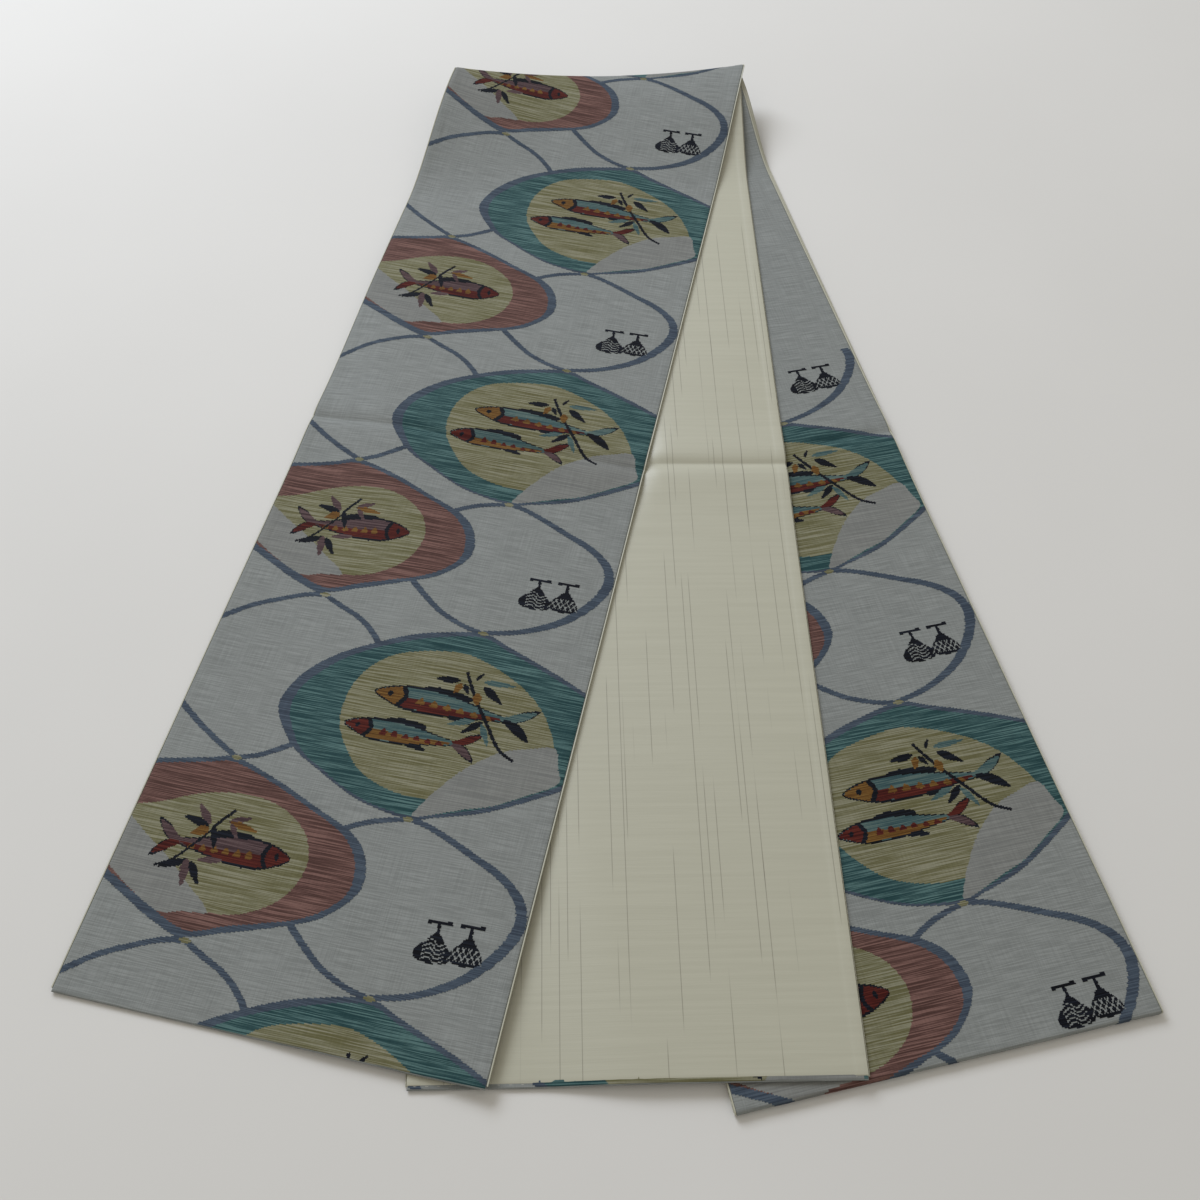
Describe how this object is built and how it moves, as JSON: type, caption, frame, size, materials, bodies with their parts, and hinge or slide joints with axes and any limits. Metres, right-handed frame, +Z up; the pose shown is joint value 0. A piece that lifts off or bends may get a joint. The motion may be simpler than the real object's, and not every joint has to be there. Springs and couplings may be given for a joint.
{
  "type": "folded sash",
  "caption": "Long double-faced kimono sash with a core, folded in four and fanned out flat, its two upper leaves turning over on the folds.",
  "frame": {"origin": "middle of the fanned sash's box, on the surface that it lies on", "axes": "+Z up, +Y towards the two folds at the joined end, -Y towards the free ends, +X to the right of someone at the free ends"},
  "size_m": [0.7716, 1.1158, 0.0437],
  "materials": {
    "face_cloth": "blue-grey woven silk with a figured weft, low sheen",
    "core": "undyed cotton interlining, matt",
    "lining": "cream silk with sparse lengthwise threads, soft sheen",
    "silk_thread": "grey sewing silk"
  },
  "bodies": {
    "base": {"top_leaf_face_cloth": "face_cloth", "top_leaf_core": "core", "top_leaf_lining": "lining", "top_leaf_west_seam": "silk_thread", "top_leaf_east_seam": "silk_thread", "base_leaf_face_cloth": "face_cloth", "base_leaf_core": "core", "base_leaf_lining": "lining", "base_leaf_west_seam": "silk_thread", "base_leaf_east_seam": "silk_thread", "outer_fold_face_cloth": "face_cloth", "outer_fold_core": "core", "outer_fold_lining": "lining", "inner_fold_face_cloth": "face_cloth", "inner_fold_core": "core", "inner_fold_lining": "lining", "front_fold_face_cloth": "face_cloth", "front_fold_core": "core", "front_fold_lining": "lining"},
    "left_leaf": {"left_leaf_face_cloth": "face_cloth", "left_leaf_core": "core", "left_leaf_lining": "lining", "left_leaf_west_seam": "silk_thread", "left_leaf_east_seam": "silk_thread", "left_leaf_end_seam": "silk_thread"},
    "middle_leaf": {"middle_leaf_face_cloth": "face_cloth", "middle_leaf_core": "core", "middle_leaf_lining": "lining", "middle_leaf_west_seam": "silk_thread", "middle_leaf_east_seam": "silk_thread", "middle_leaf_end_seam": "silk_thread"}
  },
  "joints": [
    {"name": "left_leaf_turn", "type": "hinge", "parent": "base", "child": "left_leaf", "pos_m": [-0.04884, 0.53738, 0.03214], "axis": [-0.9952, -0.0984, 0], "range_deg": [0, 183], "deforming": ["outer_fold_face_cloth", "outer_fold_core", "outer_fold_lining"]},
    {"name": "middle_leaf_turn", "type": "hinge", "parent": "base", "child": "middle_leaf", "pos_m": [-0.04734, 0.51138, 0.03805], "axis": [-0.976, -0.2177, 0], "range_deg": [0, 177], "deforming": ["inner_fold_face_cloth", "inner_fold_core", "inner_fold_lining"]}
  ],
  "couplings": [
    {"joint": "middle_leaf_turn", "follows": "left_leaf_turn", "ratio": 0.9672}
  ]
}
